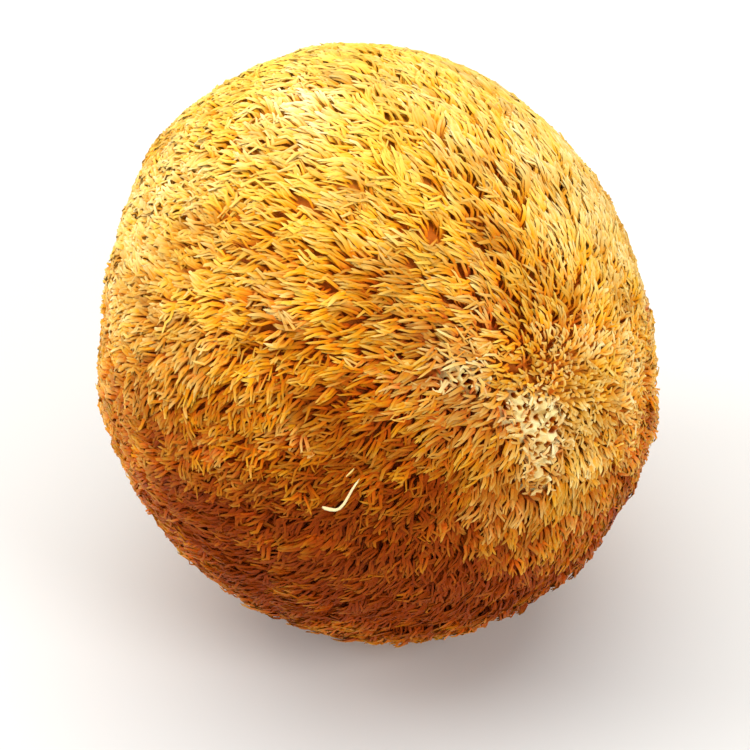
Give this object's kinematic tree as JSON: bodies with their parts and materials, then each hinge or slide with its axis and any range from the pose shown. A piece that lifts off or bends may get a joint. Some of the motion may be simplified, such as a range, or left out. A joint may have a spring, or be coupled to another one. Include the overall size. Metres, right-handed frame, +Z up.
{
  "type": "dried lion's mane mushroom",
  "caption": "Dried lion's mane mushroom head: a tall rounded ball of fine golden spines swept back from one side, resting on the flat cut of its short stalk.",
  "frame": {"origin": "centre of the flat cut across the stalk, which the head rests on", "axes": "+Z up through the head, -Y towards the front, where the spines part low on the right"},
  "size_m": [0.094, 0.0937, 0.1049],
  "materials": {
    "dried_spines": "dry, slightly glossy golden spines with deep orange-brown gaps and paler tips"
  },
  "bodies": {
    "root": {"fruiting_body": "dried_spines"}
  },
  "joints": []
}
